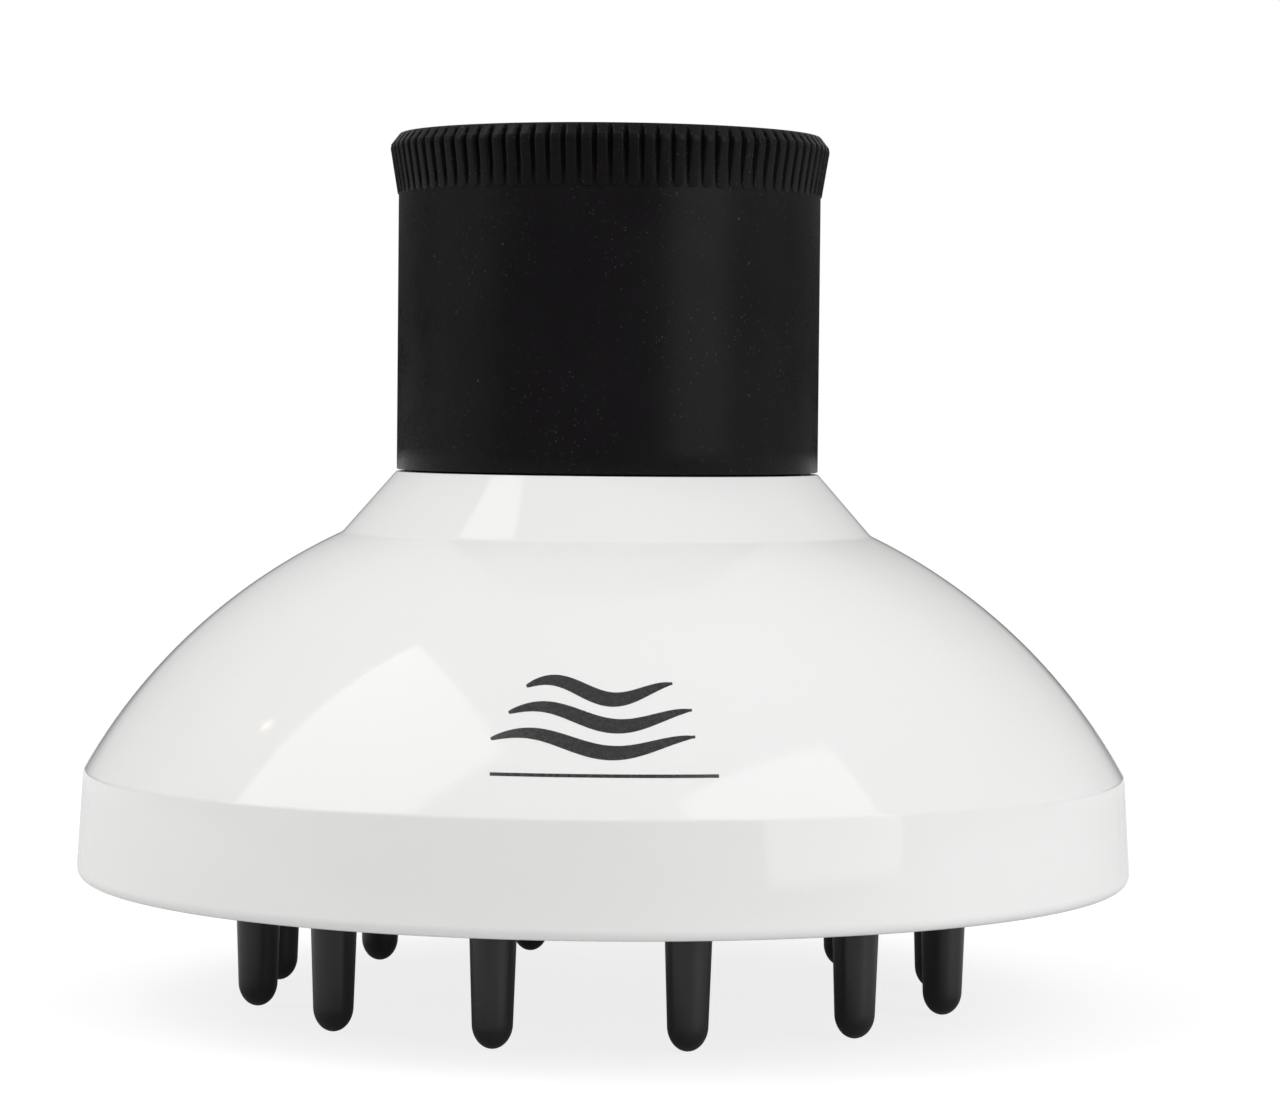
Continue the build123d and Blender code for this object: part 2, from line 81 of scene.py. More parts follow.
# Ribbed lip
LIP_FOOT_Z, LIP_WIDE_Z = 114.85 * MM, 121.55 * MM
LIP_R = 31.3 * MM                           # crests of the ribs at the widest part
LIP_LOW = 0.15 * MM                         # how far the ribs stand out at their foot
LIP_BAND_BELOW, LIP_BAND_ABOVE, LIP_BAND_FALL = 0.35 * MM, 0.25 * MM, 0.08 * MM
LIP_TOP_DROP = 0.15 * MM                    # the ribs end this far below the top
RIB_COUNT, RIB_WIDTH, RIB_FLANK = 90, 1.42 * MM, 0.11 * MM

# Fingers: two rings, with the first finger's angle from the front in degrees
FINGER_START = 13.1
FINGER_RINGS = (
    # name, count, radius of the ring, radius of a tip
    ("outer_finger", 12, 49.85 * MM, 2.75 * MM),
    ("inner_finger", 6, 25.0 * MM, 2.45 * MM),
)
TIP_H, FINGER_TAPER = 3.4 * MM, 0.034       # height of the round tip; radius gained with height
SEAT_DEPTH, TAPER_DEPTH = 1.38 * MM, 7.9 * MM              # both below the finger's top
COLLAR_W = 1.5 * MM                         # flange that seats a finger in the plate

# Printed mark: three air streams over a line
MARK_LEFT, STREAM_LENGTH, LINE_LENGTH = -14.5 * MM, 26.0 * MM, 29.0 * MM
STREAM_Z, STREAM_PITCH, LINE_Z = 42.2 * MM, 3.2 * MM, 38.4 * MM
STREAMS = ((0.0, 1.0), (2.2 * MM, 0.9), (4.4 * MM, 0.72))  # shift to the right, share of the length
WAVE_H, WAVE_FADE = 1.25 * MM, 0.25         # height, and the share of it lost by the far end
WAVE_TURNS, WAVE_START = 1.15, 0.05         # whole waves in a stream, and where the first begins
STREAM_TIP_W, STREAM_SWELL, LINE_W = 0.35 * MM, 1.45 * MM, 0.42 * MM
INK_HEIGHT = 0.012 * MM                     # how far the ink stands off the dome


# ---- outlines ------------------------------------------------------------------------------
def dome_radius(z):
    """Radius of the dome's outside at a height."""
    return DOME_CENTRE[0] + sqrt(DOME_R ** 2 - (z - DOME_CENTRE[1]) ** 2)


def dome_points(z_from, z_to, inset=0.0, steps=72):
    """Points along the dome's arc between two heights, with the arc moved inwards by inset."""
    radius = DOME_R - inset
    start = asin((z_from - DOME_CENTRE[1]) / radius)
    end = asin((z_to - DOME_CENTRE[1]) / radius)
    points = []
    for i in range(steps + 1):
        angle = start + (end - start) * i / steps
        points.append((DOME_CENTRE[0] + radius * cos(angle), DOME_CENTRE[1] + radius * sin(angle)))
    return points


def rounded(points, closed=True, steps=8):
    """An outline of (r, z) or (r, z, fillet) points with each fillet drawn as an arc."""
    result = []
    count = len(points)
    for i, point in enumerate(points):
        fillet = point[2] if len(point) > 2 else 0.0
        here = Vector(point[:2])
        if fillet <= 0 or (not closed and i in (0, count - 1)):
            result.append(tuple(here))
            continue
        before = Vector(points[i - 1][:2]) - here
        after = Vector(points[(i + 1) % count][:2]) - here
        turn = pi - before.angle(after)
        reach = fillet * tan(turn / 2)
        start, end = here + before.normalized() * reach, here + after.normalized() * reach
        middle = (before.normalized() + after.normalized()).normalized()
        centre = here + middle * hypot(fillet, reach)
        to_start, to_end = start - centre, end - centre
        spin = 1 if to_start.x * to_end.y > to_start.y * to_end.x else -1
        first = atan2(to_start.y, to_start.x)
        for k in range(steps + 1):
            angle = first + spin * turn * k / steps
            result.append((centre.x + fillet * cos(angle), centre.y + fillet * sin(angle)))
    return result


# ---- mesh pieces ---------------------------------------------------------------------------
def piece(name, verts, faces, material, body, replaces=(), sharp=35.0):
    """A smooth-shaded mesh that rides on a body and takes a material."""
    mesh = bpy.data.meshes.new(name)
    mesh.from_pydata(verts, [], faces)
    mesh.validate()
    obj = bpy.data.objects.new(name, mesh)
    bpy.context.scene.collection.objects.link(obj)
    mesh.materials.append(material)
    mesh.shade_smooth()
    mesh.set_sharp_from_angle(angle=radians(sharp))
    if replaces:
        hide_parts(*replaces)
    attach(obj, body)
    return obj


def lathe(outline, steps, closed=True):
    """Vertices and faces of an outline turned about Z. An open outline starts and ends on the axis."""
    verts, faces, rows = [], [], []
    for r, z in outline:
        if r < 1e-7:
            rows.append([len(verts)] * steps)
            verts.append((0, 0, z))
            continue
        rows.append(range(len(verts), len(verts) + steps))
        for k in range(steps):
            angle = 2 * pi * k / steps
            verts.append((r * cos(angle), r * sin(angle), z))
    pairs = list(zip(rows, rows[1:] + rows[:1])) if closed else list(zip(rows, rows[1:]))
    for low, high in pairs:
        for k in range(steps):
            n = (k + 1) % steps
            corners = [low[k], low[n], high[n], high[k]]
            faces.append([c for i, c in enumerate(corners) if c not in corners[:i]])
    return verts, [f for f in faces if len(f) > 2]


def join(verts, faces, more_verts, more_faces):
    """Adds a second set of vertices and faces to the first."""
    start = len(verts)
    verts += more_verts
    faces += [tuple(corner + start for corner in face) for face in more_faces]


def moved(verts, angle, radius):
    """Vertices of a piece on the axis, moved out to a place on a ring."""
    turn = Matrix.Rotation(angle, 3, "Z")
    return [tuple(turn @ Vector((x + radius, y, z))) for x, y, z in verts]


# ---- materials -----------------------------------------------------------------------------
class Finish:
    """A material with one principled shader, and short ways to add nodes to it."""

    def __init__(self, name):
        self.material = bpy.data.materials.new(name)
        self.material.use_nodes = True
        self.nodes = self.material.node_tree.nodes
        self.links = self.material.node_tree.links
        self.shader = self.nodes["Principled BSDF"]
        self.place = self.nodes.new("ShaderNodeTexCoord").outputs["Object"]

    def set(self, **values):
        """Sets the shader's own sockets."""
        for name, value in values.items():
            self.shader.inputs[name.replace("_", " ")].default_value = value

    def stretched(self, scale, turn=(0, 0, 0)):
        """Object coordinates, turned and scaled."""
        node = self.nodes.new("ShaderNodeMapping")
        self.links.new(self.place, node.inputs["Vector"])
        node.inputs["Scale"].default_value = scale
        node.inputs["Rotation"].default_value = turn
        return node.outputs["Vector"]

    def noise(self, scale, detail=3.0, rough=0.55, place=None):
        """Noise of a scale in cycles for each metre."""
        node = self.nodes.new("ShaderNodeTexNoise")
        node.inputs["Scale"].default_value = scale
        node.inputs["Detail"].default_value = detail
        node.inputs["Roughness"].default_value = rough
        self.links.new(place or self.place, node.inputs["Vector"])
        return node.outputs["Fac"]

    def ramp(self, value, low, high, out_low=0.0, out_high=1.0, smooth=False):
        """Value spread from low..high to out_low..out_high, and held at the ends."""
        node = self.nodes.new("ShaderNodeMapRange")
        node.interpolation_type = "SMOOTHSTEP" if smooth else "LINEAR"
        for socket, number in zip(list(node.inputs)[1:5], (low, high, out_low, out_high)):
            socket.default_value = number
        self.links.new(value, node.inputs["Value"])
        return node.outputs["Result"]

    def math(self, operation, a, b):
        """Arithmetic on two values, either of which may be a number."""
        node = self.nodes.new("ShaderNodeMath")
        node.operation = operation
        for socket, value in zip(node.inputs, (a, b)):
            if isinstance(value, (int, float)):
                socket.default_value = value
            else:
                self.links.new(value, socket)
        return node.outputs["Value"]

    def blend(self, factor, first, second):
        """Colour mix. A colour is a socket or three numbers."""
        node = self.nodes.new("ShaderNodeMix")
        node.data_type = "RGBA"
        self.links.new(factor, node.inputs["Factor"])
        for name, value in (("A", first), ("B", second)):
            socket = [s for s in node.inputs if s.name == name and s.type == "RGBA"][0]
            if isinstance(value, tuple):
                socket.default_value = (*value, 1.0)
            else:
                self.links.new(value, socket)
        return [s for s in node.outputs if s.type == "RGBA"][0]

    def specks(self, scale, size, share, place=None):
        """A mask of scattered dots: one to a cell at most, in a share of the cells."""
        cell = self.nodes.new("ShaderNodeTexVoronoi")
        cell.inputs["Scale"].default_value = scale
        self.links.new(place or self.place, cell.inputs["Vector"])
        split = self.nodes.new("ShaderNodeSeparateColor")
        self.links.new(cell.outputs["Color"], split.inputs["Color"])
        dot = self.ramp(cell.outputs["Distance"], size * 0.5, size, 1.0, 0.0)
        chosen = self.math("GREATER_THAN", split.outputs["Red"], 1.0 - share)
        bright = self.ramp(split.outputs["Green"], 0.0, 1.0, 0.25, 1.0)
        return self.math("MULTIPLY", self.math("MULTIPLY", dot, chosen), bright)

    def colour(self, value):
        self.links.new(value, self.shader.inputs["Base Color"])

    def roughness(self, value):
        self.links.new(value, self.shader.inputs["Roughness"])

    def bump(self, height, distance, after=None):
        """Small relief of a distance in metres."""
        node = self.nodes.new("ShaderNodeBump")
        node.inputs["Distance"].default_value = distance
        self.links.new(height, node.inputs["Height"])
        if after is not None:
            self.links.new(after, node.inputs["Normal"])
        self.links.new(node.outputs["Normal"], self.shader.inputs["Normal"])
        return node.outputs["Normal"]


def white_gloss():
    """Gloss white moulding: faint tint drift, very slight orange peel, a few dust specks."""
    f = Finish("white_gloss")
    drift = f.ramp(f.noise(22.0, 2.0), 0.3, 0.7)
    tint = f.blend(drift, (0.815, 0.812, 0.806), (0.835, 0.834, 0.83))
    dust = f.math("MULTIPLY", f.specks(240.0, 0.05, 0.05), 0.35)
    f.colour(f.blend(dust, tint, (0.55, 0.54, 0.53)))
    wiped = f.noise(60.0, 5.0, 0.6, f.stretched((1.0, 1.0, 0.35), (0.5, 0.2, 0.0)))
    f.roughness(f.ramp(wiped, 0.25, 0.8, 0.045, 0.10))
    f.set(IOR=1.32)
    f.bump(f.noise(420.0, 2.0), 0.0000035)
    return f.material


def black_rubber():
    """Matte moulded rubber: fine grain, faint drawn marks, lint and dust that clings to it."""
    f = Finish("black_rubber")
    patch = f.ramp(f.noise(48.0, 3.0), 0.35, 0.7)
    base = f.blend(patch, (0.0088, 0.0078, 0.0088), (0.0115, 0.0104, 0.0115))
    gather = f.ramp(f.noise(70.0, 2.0), 0.42, 0.66, 0.15, 1.0, True)
    fine = f.specks(2300.0, 0.3, 0.2)
    coarse = f.math("MULTIPLY", f.specks(620.0, 0.13, 0.1), 0.8)
    bent = f.stretched((1.0, 1.0, 0.2), (0.7, 0.5, 0.2))
    leaning = f.stretched((1.0, 1.0, 0.24), (-0.9, 0.3, 1.1))
    lint = f.math("MAXIMUM", f.specks(230.0, 0.05, 0.12, bent), f.specks(260.0, 0.05, 0.1, leaning))
    dust = f.math("MAXIMUM", f.math("MULTIPLY", fine, gather), f.math("MAXIMUM", coarse, lint))
    f.colour(f.blend(f.math("MULTIPLY", dust, 0.5), base, (0.13, 0.125, 0.125)))
    f.roughness(f.ramp(f.noise(160.0, 5.0, 0.65), 0.3, 0.75, 0.24, 0.34))
    f.set(IOR=1.155)
    grain = f.bump(f.noise(5200.0, 3.0, 0.7), 0.00001)
    f.bump(f.noise(900.0, 2.0, 0.5, f.stretched((0.12, 0.12, 1.0))), 0.000006, after=grain)
    return f.material


def finger_plastic():
    """Satin moulded plastic, a little brighter than the rubber, with flow marks and fine dust."""
    f = Finish("finger_plastic")
    patch = f.ramp(f.noise(120.0, 3.0), 0.3, 0.7)
    base = f.blend(patch, (0.0145, 0.014, 0.0145), (0.0195, 0.0188, 0.0195))
    dust = f.math("MULTIPLY", f.specks(900.0, 0.12, 0.08), 0.35)
    f.colour(f.blend(dust, base, (0.2, 0.19, 0.19)))
    f.roughness(f.ramp(f.noise(260.0, 4.0, 0.6, f.stretched((1, 1, 0.3))), 0.3, 0.75, 0.30, 0.42))
    f.bump(f.noise(2600.0, 3.0, 0.6), 0.000006)
    return f.material


def black_plastic():
    """Spark-textured black moulding for the plate, the neck tube and the deflector."""
    f = Finish("black_plastic")
    patch = f.ramp(f.noise(60.0, 3.0), 0.3, 0.7)
    base = f.blend(patch, (0.014, 0.0137, 0.014), (0.021, 0.0205, 0.021))
    dust = f.math("MULTIPLY", f.specks(700.0, 0.1, 0.06), 0.35)
    f.colour(f.blend(dust, base, (0.2, 0.19, 0.19)))
    f.roughness(f.ramp(f.noise(900.0, 4.0), 0.3, 0.75, 0.36, 0.52))
    f.bump(f.noise(3600.0, 4.0, 0.7), 0.000014)
    return f.material


def seal_rubber():
    """Smooth black seal rubber with a faint bloom."""
    f = Finish("seal_rubber")
    bloom = f.ramp(f.noise(300.0, 4.0), 0.4, 0.75)
    f.colour(f.blend(bloom, (0.02, 0.02, 0.021), (0.045, 0.045, 0.047)))
    f.roughness(f.ramp(bloom, 0.0, 1.0, 0.4, 0.6))
    f.bump(f.noise(2500.0, 2.0), 0.000006)
    return f.material


def natural_nylon():
    """Cream nylon of the slip washer, with a turned grain."""
    f = Finish("natural_nylon")
    grain = f.noise(1800.0, 3.0)
    f.colour(f.blend(grain, (0.62, 0.59, 0.5), (0.7, 0.68, 0.6)))
    f.roughness(f.ramp(grain, 0.3, 0.7, 0.35, 0.5))
    f.bump(grain, 0.000005)
    return f.material


def spring_steel():
    """Bright steel with fine drawn lines."""
    f = Finish("spring_steel")
    lines = f.noise(2600.0, 3.0, 0.6, f.stretched((1.0, 1.0, 0.05)))
    f.colour(f.blend(lines, (0.42, 0.42, 0.43), (0.62, 0.62, 0.63)))
    f.set(Metallic=1.0)
    f.roughness(f.ramp(lines, 0.3, 0.7, 0.22, 0.38))
    f.bump(lines, 0.000004)
    return f.material


def mark_ink():
    """Pad-printed black ink, slightly uneven at its thin edges."""
    f = Finish("mark_ink")
    thin = f.ramp(f.noise(1400.0, 4.0), 0.35, 0.7)
    f.colour(f.blend(thin, (0.018, 0.016, 0.016), (0.028, 0.026, 0.026)))
    f.roughness(f.ramp(thin, 0.0, 1.0, 0.22, 0.34))
    f.bump(f.noise(2200.0, 2.0), 0.000003)
    return f.material


WHITE, RUBBER, FINGER, BLACK = white_gloss(), black_rubber(), finger_plastic(), black_plastic()
SEAL, NYLON, STEEL, INK = seal_rubber(), natural_nylon(), spring_steel(), mark_ink()


# ---- the bell ------------------------------------------------------------------------------
def bell_outline():
    """The bell's wall: shoulder, cone, dome, skirt and rounded rim outside, and the same inside."""
    inner_skirt_z, inner_cone_z = SKIRT_TOP_Z - INNER_SKIRT_DROP, CONE_FOOT_Z - INNER_CONE_DROP
    outside = dome_points(CONE_FOOT_Z, SKIRT_TOP_Z)
    inside = dome_points(inner_skirt_z, inner_cone_z, WALL)
    throat_edge_r = inside[-1][0] - (THROAT_FOOT_Z - inner_cone_z) * CONE_SLOPE
    return rounded([
        (THROAT_R, SHOULDER_Z, THROAT_TOP_ROUND),
        (SHOULDER_R, SHOULDER_Z, SHOULDER_ROUND),
        (*outside[0], CONE_ROUND),
        *outside[1:-1],
        (*outside[-1], SKIRT_ROUND),
        (RIM_R, RIM_Z, RIM_ROUND),
        (RIM_R - WALL, RIM_Z, RIM_INNER_ROUND),
        (*inside[0], INNER_SKIRT_ROUND),
        *inside[1:-1],
        (*inside[-1], INNER_CONE_ROUND),
        (throat_edge_r, THROAT_FOOT_Z, THROAT_EDGE_ROUND),
        (THROAT_R, THROAT_FOOT_Z, THROAT_FOOT_ROUND),
    ])


def build_bell():
    """The white bell as one smooth turned shell."""
    verts, faces = lathe(bell_outline(), BELL_STEPS)
    return piece("bell", verts, faces, WHITE, "bell", ["bell_shell"])


def curved_bar(r_in, r_out, z_low, z_high, start, arc, bevel=0.2 * MM):
    """Vertices and faces of a bar that follows a circle, with bevelled inner edges. Its start and
    arc are in degrees."""
    edge = [(r_out, z_low), (r_in + bevel, z_low), (r_in, z_low + bevel),
            (r_in, z_high - bevel), (r_in + bevel, z_high), (r_out, z_high)]
    steps = max(2, round(arc))
    verts, faces, count = [], [], len(edge)
    for i in range(steps + 1):
        a = radians(start + arc * i / steps)
        verts += [(r * cos(a), r * sin(a), z) for r, z in edge]
    for i in range(steps):
        for k in range(count):
            low, high = i * count + k, i * count + (k + 1) % count
            faces.append((low, low + count, high + count, high))
    faces += [tuple(range(count)), tuple(reversed(range(steps * count, (steps + 1) * count)))]
    return verts, faces


def build_ledges():
    """The bayonet ledges and their stops, inside the bell's rim."""
    verts, faces = [], []
    for i in range(LUG_COUNT):
        locked = 360.0 * i / LUG_COUNT
        end = locked + LUG_ARC + LOCK_PLAY + STOP_ARC
        free = locked - RELEASE_TURN - LOCK_PLAY - STOP_ARC
        ledge = (LEDGE_R, LEDGE_ROOT_R, LEDGE_Z, LEDGE_TOP_Z, end - LEDGE_ARC, LEDGE_ARC)
        locked_stop = (LEDGE_R, LEDGE_ROOT_R, LEDGE_TOP_Z, STOP_TOP_Z, end - STOP_ARC, STOP_ARC)
        free_stop = (LEDGE_R + STOP_INSET, LEDGE_ROOT_R, LEDGE_Z, STOP_TOP_Z, free, STOP_ARC)
        for bar in (ledge, locked_stop, free_stop):
            join(verts, faces, *curved_bar(*bar))
    return piece("bayonet_ledges", verts, faces, WHITE, "bell")


# ---- the rubber sleeve ---------------------------------------------------------------------
def lip_height(z):
    """How far the ribs stand out of the sleeve at a height."""
    flare_top = LIP_WIDE_Z - LIP_BAND_BELOW
    chamfer_foot, chamfer_top = LIP_WIDE_Z + LIP_BAND_ABOVE, SLEEVE_HIGH[2] - LIP_TOP_DROP
    full, crest = LIP_R - SLEEVE_R, LIP_R - SLEEVE_R - LIP_BAND_FALL
    if z <= flare_top:
        return LIP_LOW + (full - LIP_LOW) * (z - LIP_FOOT_Z) / (flare_top - LIP_FOOT_Z)
    if z <= chamfer_foot:
        return full + (crest - full) * (z - flare_top) / (chamfer_foot - flare_top)
    return max(0.0, crest * (chamfer_top - z) / (chamfer_top - chamfer_foot))


def rib_half_width(z):
    """Half the width of a rib at a height: its foot is a half round."""
    half = RIB_WIDTH / 2
    below = LIP_FOOT_Z + half - z
    if below <= 0:
        return half
    return half * sqrt(max(0.0004, 1 - (below / half) ** 2))


def rib_columns(z):
    """Angles and shares of the rib's height across one rib and the groove after it, at a height."""
    pitch = 2 * pi / RIB_COUNT
    half = rib_half_width(z) / LIP_R
    flank = min(RIB_FLANK / LIP_R, 0.45 * (pitch / 2 - half))
    side = [(0.0, 1.0), (0.45 * half, 1.0), (0.84 * half, 0.985), (half, 0.88),
            (half + flank, 0.04), (half + 1.5 * flank, 0.0)]
    middle = [(pitch / 2, 0.0)]
    mirrored = [(pitch - angle, share) for angle, share in reversed(side[1:])]
    return side + middle + mirrored


def sleeve_outside(plain_steps=12):
    """(radius, height) from the sleeve's foot up to the lip."""
    low = SLEEVE_LOW[2]
    points = [(29.0 * MM, low), (29.9 * MM, low), (SLEEVE_R - 0.06 * MM, low + 0.05 * MM),
              (SLEEVE_R, low + 0.2 * MM)]
    for i in range(1, plain_steps):
        points.append((SLEEVE_R, low + (LIP_FOOT_Z - 0.4 * MM - low) * i / plain_steps))
    return points


def lip_heights():
    """Heights of the mesh rings on the lip: close together at the ribs' feet and at their crests."""
    straight_foot, straight_top = LIP_FOOT_Z + RIB_WIDTH / 2, LIP_WIDE_Z - 0.55 * MM
    heights = [LIP_FOOT_Z - 0.25 * MM, LIP_FOOT_Z - 0.04 * MM]
    heights += [LIP_FOOT_Z + RIB_WIDTH / 2 * share for share in (0.0, 0.02, 0.08, 0.2, 0.4, 0.65, 1.0)]
    heights += [straight_foot + (straight_top - straight_foot) * i / 6 for i in range(1, 7)]
    crest = (-0.35, -0.15, 0.05, 0.18, 0.25, 0.34, 0.6, 1.0, 1.4, 1.6)
    return heights + [LIP_WIDE_Z + rise * MM for rise in crest]


def sleeve_inside():
    """(radius, height) over the rounded top, down the grip bore and the seat to the foot."""
    low, top = SLEEVE_LOW[2], SLEEVE_HIGH[2]
    rim = [(SLEEVE_R - inwards * MM, top - down * MM)
           for inwards, down in ((0.02, 0.16), (0.1, 0.06), (0.24, 0.01), (0.5, 0.0))]
    bore = rounded([
        (SLEEVE_R - 0.9 * MM, top),
        (GRIP_LEAD_R, top, 0.4 * MM),
        (GRIP_R, top - GRIP_LEAD_H, 1.5 * MM),
        (GRIP_R, SEAT_TOP_Z, 0.1 * MM),
        (SEAT_R, SEAT_TOP_Z, 0.1 * MM),
        (SEAT_R, SEAT_FOOT_Z, 0.1 * MM),
        (RECESS_R, SEAT_FOOT_Z, 0.1 * MM),
        (RECESS_R, low + 0.05 * MM),
    ], closed=False, steps=4)
    return rim + bore


def sleeve_rows():
    """(radius, height, on the lip) of each ring of the sleeve's mesh, round its closed section."""
    rows = [(r, z, False) for r, z in sleeve_outside()]
    rows += [(SLEEVE_R, z, True) for z in lip_heights()]
    rows += [(r, z, False) for r, z in sleeve_inside()]
    return rows


def build_sleeve():
    """The rubber collar, with the ribs modelled round its flared lip."""
    pitch = 2 * pi / RIB_COUNT
    verts, faces, rings = [], [], []
    for r, z, on_lip in sleeve_rows():
        columns = rib_columns(z if on_lip else max(z, LIP_FOOT_Z + RIB_WIDTH))
        rise = lip_height(z) if on_lip and z >= LIP_FOOT_Z else 0.0
        start = len(verts)
        for rib in range(RIB_COUNT):
            for column, share in columns:
                angle = rib * pitch + column
                radius = r + rise * share
                verts.append((radius * cos(angle), radius * sin(angle), z))
        rings.append(range(start, len(verts)))
    for low, high in zip(rings, rings[1:] + rings[:1]):
        count = len(low)
        for k in range(count):
            n = (k + 1) % count
            faces.append((low[k], low[n], high[n], high[k]))
    return piece("sleeve", verts, faces, RUBBER, "sleeve", ["grip_sleeve"], sharp=50.0)


# ---- the fingers ---------------------------------------------------------------------------
def finger_outline(tip_z, top_z, tip_r, tip_steps=12, taper_steps=8):
    """A finger's outline: a round tip, a long taper and the collar that seats it in the plate."""
    taper_foot_z, taper_top_z = tip_z + TIP_H, top_z - TAPER_DEPTH
    seat_z = top_z - SEAT_DEPTH
    base_r = tip_r + FINGER_TAPER * (taper_top_z - tip_z - TIP_H)
    points = [(0.0, tip_z)]
    for i in range(1, tip_steps + 1):
        angle = pi / 2 * i / tip_steps
        points.append((tip_r * sin(angle), tip_z + TIP_H * (1 - cos(angle))))
    for i in range(1, taper_steps + 1):
        share = i / taper_steps
        z = taper_foot_z + (taper_top_z - taper_foot_z) * share
        points.append((tip_r + (base_r - tip_r) * share, z))
    return points + rounded([
        (base_r, seat_z),
        (base_r + COLLAR_W, seat_z, 0.2 * MM),
        (base_r + COLLAR_W, top_z, 0.3 * MM),
        (0.0, top_z),
    ], closed=False, steps=3)


def build_finger(name, node, angle, ring_r, tip_r):
    """One finger on its place in a ring."""
    low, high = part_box(node)
    verts, faces = lathe(finger_outline(low[2], high[2], tip_r), 48, closed=False)
    verts = moved(verts, angle, ring_r)
    return piece(name, verts, faces, FINGER, "plate", [node], sharp=40.0)


def build_fingers():
    """Both rings of fingers."""
    for stem, count, ring_r, tip_r in FINGER_RINGS:
        for i in range(count):
            angle = radians(-90.0 + FINGER_START + 360.0 * i / count)
            build_finger(f"{stem}_mesh_{i + 1:02d}", f"{stem}_{i + 1:02d}", angle, ring_r, tip_r)


# ---- the printed mark ----------------------------------------------------------------------
def on_dome(x, z):
    """A point on the front of the dome at a side offset and height, just proud of the surface."""
    r = dome_radius(z) + INK_HEIGHT
    return (x, -sqrt(r * r - x * x), z)


def mark_strip(points, width_at):
    """Vertices and faces of a printed strip along (x, z) points, with its width at each point."""
    verts, faces = [], []
    count = len(points)
    for i, (x, z) in enumerate(points):
        before, after = points[max(0, i - 1)], points[min(count - 1, i + 1)]
        along = Vector((after[0] - before[0], after[1] - before[1])).normalized()
        side = Vector((-along.y, along.x)) * width_at(i / (count - 1)) / 2
        verts.append(on_dome(x + side.x, z + side.y))
        verts.append(on_dome(x - side.x, z - side.y))
    for i in range(count - 1):
        faces.append((2 * i, 2 * i + 1, 2 * i + 3, 2 * i + 2))
    return verts, faces


def stream_width(t):
    """Width of an air stream at a share of its length: thin at its ends."""
    return STREAM_TIP_W + STREAM_SWELL * sin(pi * min(1.0, t * 1.02)) ** 0.7


def line_width(t):
    """Width of the thin line, the same all along."""
    return LINE_W


def build_mark(steps=60):
    """A generic mark: three air streams over a thin line."""
    verts, faces = [], []
    shares = [i / steps for i in range(steps + 1)]
    for row, (shift, length) in enumerate(STREAMS):
        z = STREAM_Z + STREAM_PITCH * row
        points = []
        for t in shares:
            wave = WAVE_H * sin(2 * pi * (WAVE_TURNS * t + WAVE_START)) * (1 - WAVE_FADE * t)
            points.append((MARK_LEFT + shift + STREAM_LENGTH * length * t, z + wave))
        join(verts, faces, *mark_strip(points, stream_width))
    line = [(MARK_LEFT + LINE_LENGTH * t, LINE_Z) for t in shares]
    join(verts, faces, *mark_strip(line, line_width))
    return piece("printed_mark", verts, faces, INK, "bell")


# ---- finishes of the carried-over parts ----------------------------------------------------
def paint_nodes():
    """Gives each CAD node that stays its finish."""
    finishes = (
        (BLACK, ("neck_tube", "finger_plate", "air_deflector", "centre_cap")),
        (SEAL, ("neck_seal", "rim_gasket")),
        (STEEL, ("retaining_ring", "deflector_screw", "screw_washer")),
        (NYLON, ("slip_washer",)),
    )
    for material, names in finishes:
        for name in names:
            slots = NODES[name].data.materials
            slots.clear()
            slots.append(material)


# ---- floor, light and camera ---------------------------------------------------------------
FLOOR_R, FLOOR_STEPS = 1.6, 96
# The camera sees the floor fade out as 1 - SEEN_SCALE * distance falls through SEEN_FADE.
SEEN_SCALE, SEEN_FADE = 0.9, (0.15, 0.75)
FLOOR_DROP = 0.0002                   # the floor lies just under the finger tips
PAPER, PAPER_SEEN = 0.75, 0.22        # its grey as the object sees it, and as the camera does
GLOW_SEEN = 0.82                      # its own light as the camera sees it
GLOW_NEAR, GLOW_FAR = 0.05, 0.35      # its own light as the object sees it,
GLOW_FROM_Y, GLOW_TO_Y = 0.3, 0.6     # which grows between these places behind the object
TABLE_END_Y, TABLE_SOLID_Y = -0.3, -0.2    # as the object sees it, it ends here, in front of it


def floor_glow(f, direct, y):
    """The floor's own light: even for the camera, and growing behind the object for the rest."""
    growing = f.ramp(y, GLOW_FROM_Y, GLOW_TO_Y, GLOW_NEAR, GLOW_FAR)
    reflected = f.math("MULTIPLY", growing, f.math("SUBTRACT", 1.0, direct))
    return f.math("ADD", reflected, f.math("MULTIPLY", direct, GLOW_SEEN))


def floor_cover(f, direct, y):
    """Where the floor is solid: a soft round patch for the camera, and a table that ends in front
    of the object for the rest. It is clear from below, so that the underside can be seen."""
    fade = f.nodes.new("ShaderNodeTexGradient")
    fade.gradient_type = "SPHERICAL"
    f.links.new(f.stretched((SEEN_SCALE,) * 3), fade.inputs["Vector"])
    patch = f.ramp(fade.outputs["Fac"], *SEEN_FADE, smooth=True)
    table = f.ramp(y, TABLE_END_Y, TABLE_SOLID_Y)
    solid = f.math("MAXIMUM", f.math("MULTIPLY", patch, direct),
                   f.math("MULTIPLY", table, f.math("SUBTRACT", 1.0, direct)))
    above = f.math("SUBTRACT", 1.0, f.nodes.new("ShaderNodeNewGeometry").outputs["Backfacing"])
    return f.math("MULTIPLY", solid, above)


